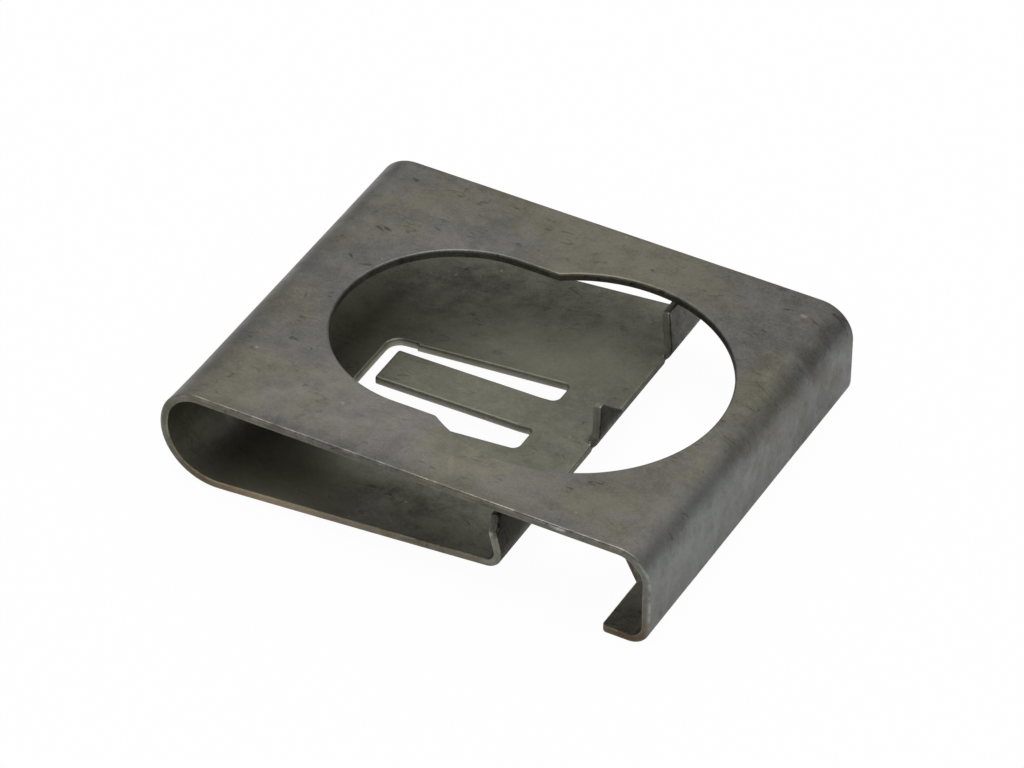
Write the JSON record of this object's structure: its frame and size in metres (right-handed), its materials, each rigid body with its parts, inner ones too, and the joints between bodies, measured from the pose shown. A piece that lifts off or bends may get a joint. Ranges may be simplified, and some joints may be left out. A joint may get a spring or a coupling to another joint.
{
  "type": "retaining clip",
  "caption": "Spring steel clip folded from one punched strip: lobed plate opening, hooked edge, closed loop, lower leaf with a raised tongue and a folded lip.",
  "frame": {"origin": "middle of the footprint, on the surface that the clip rests on", "axes": "+X from the closed loop to the hook, +Y across the strip to the back, +Z from the resting surface to the lobed plate"},
  "size_m": [0.0316, 0.0254, 0.0065],
  "materials": {
    "spring_steel": "dull dark grey phosphate with olive mottling, worn arrises and a trace of rust"
  },
  "bodies": {
    "root": {"retaining_clip": "spring_steel"}
  },
  "joints": []
}
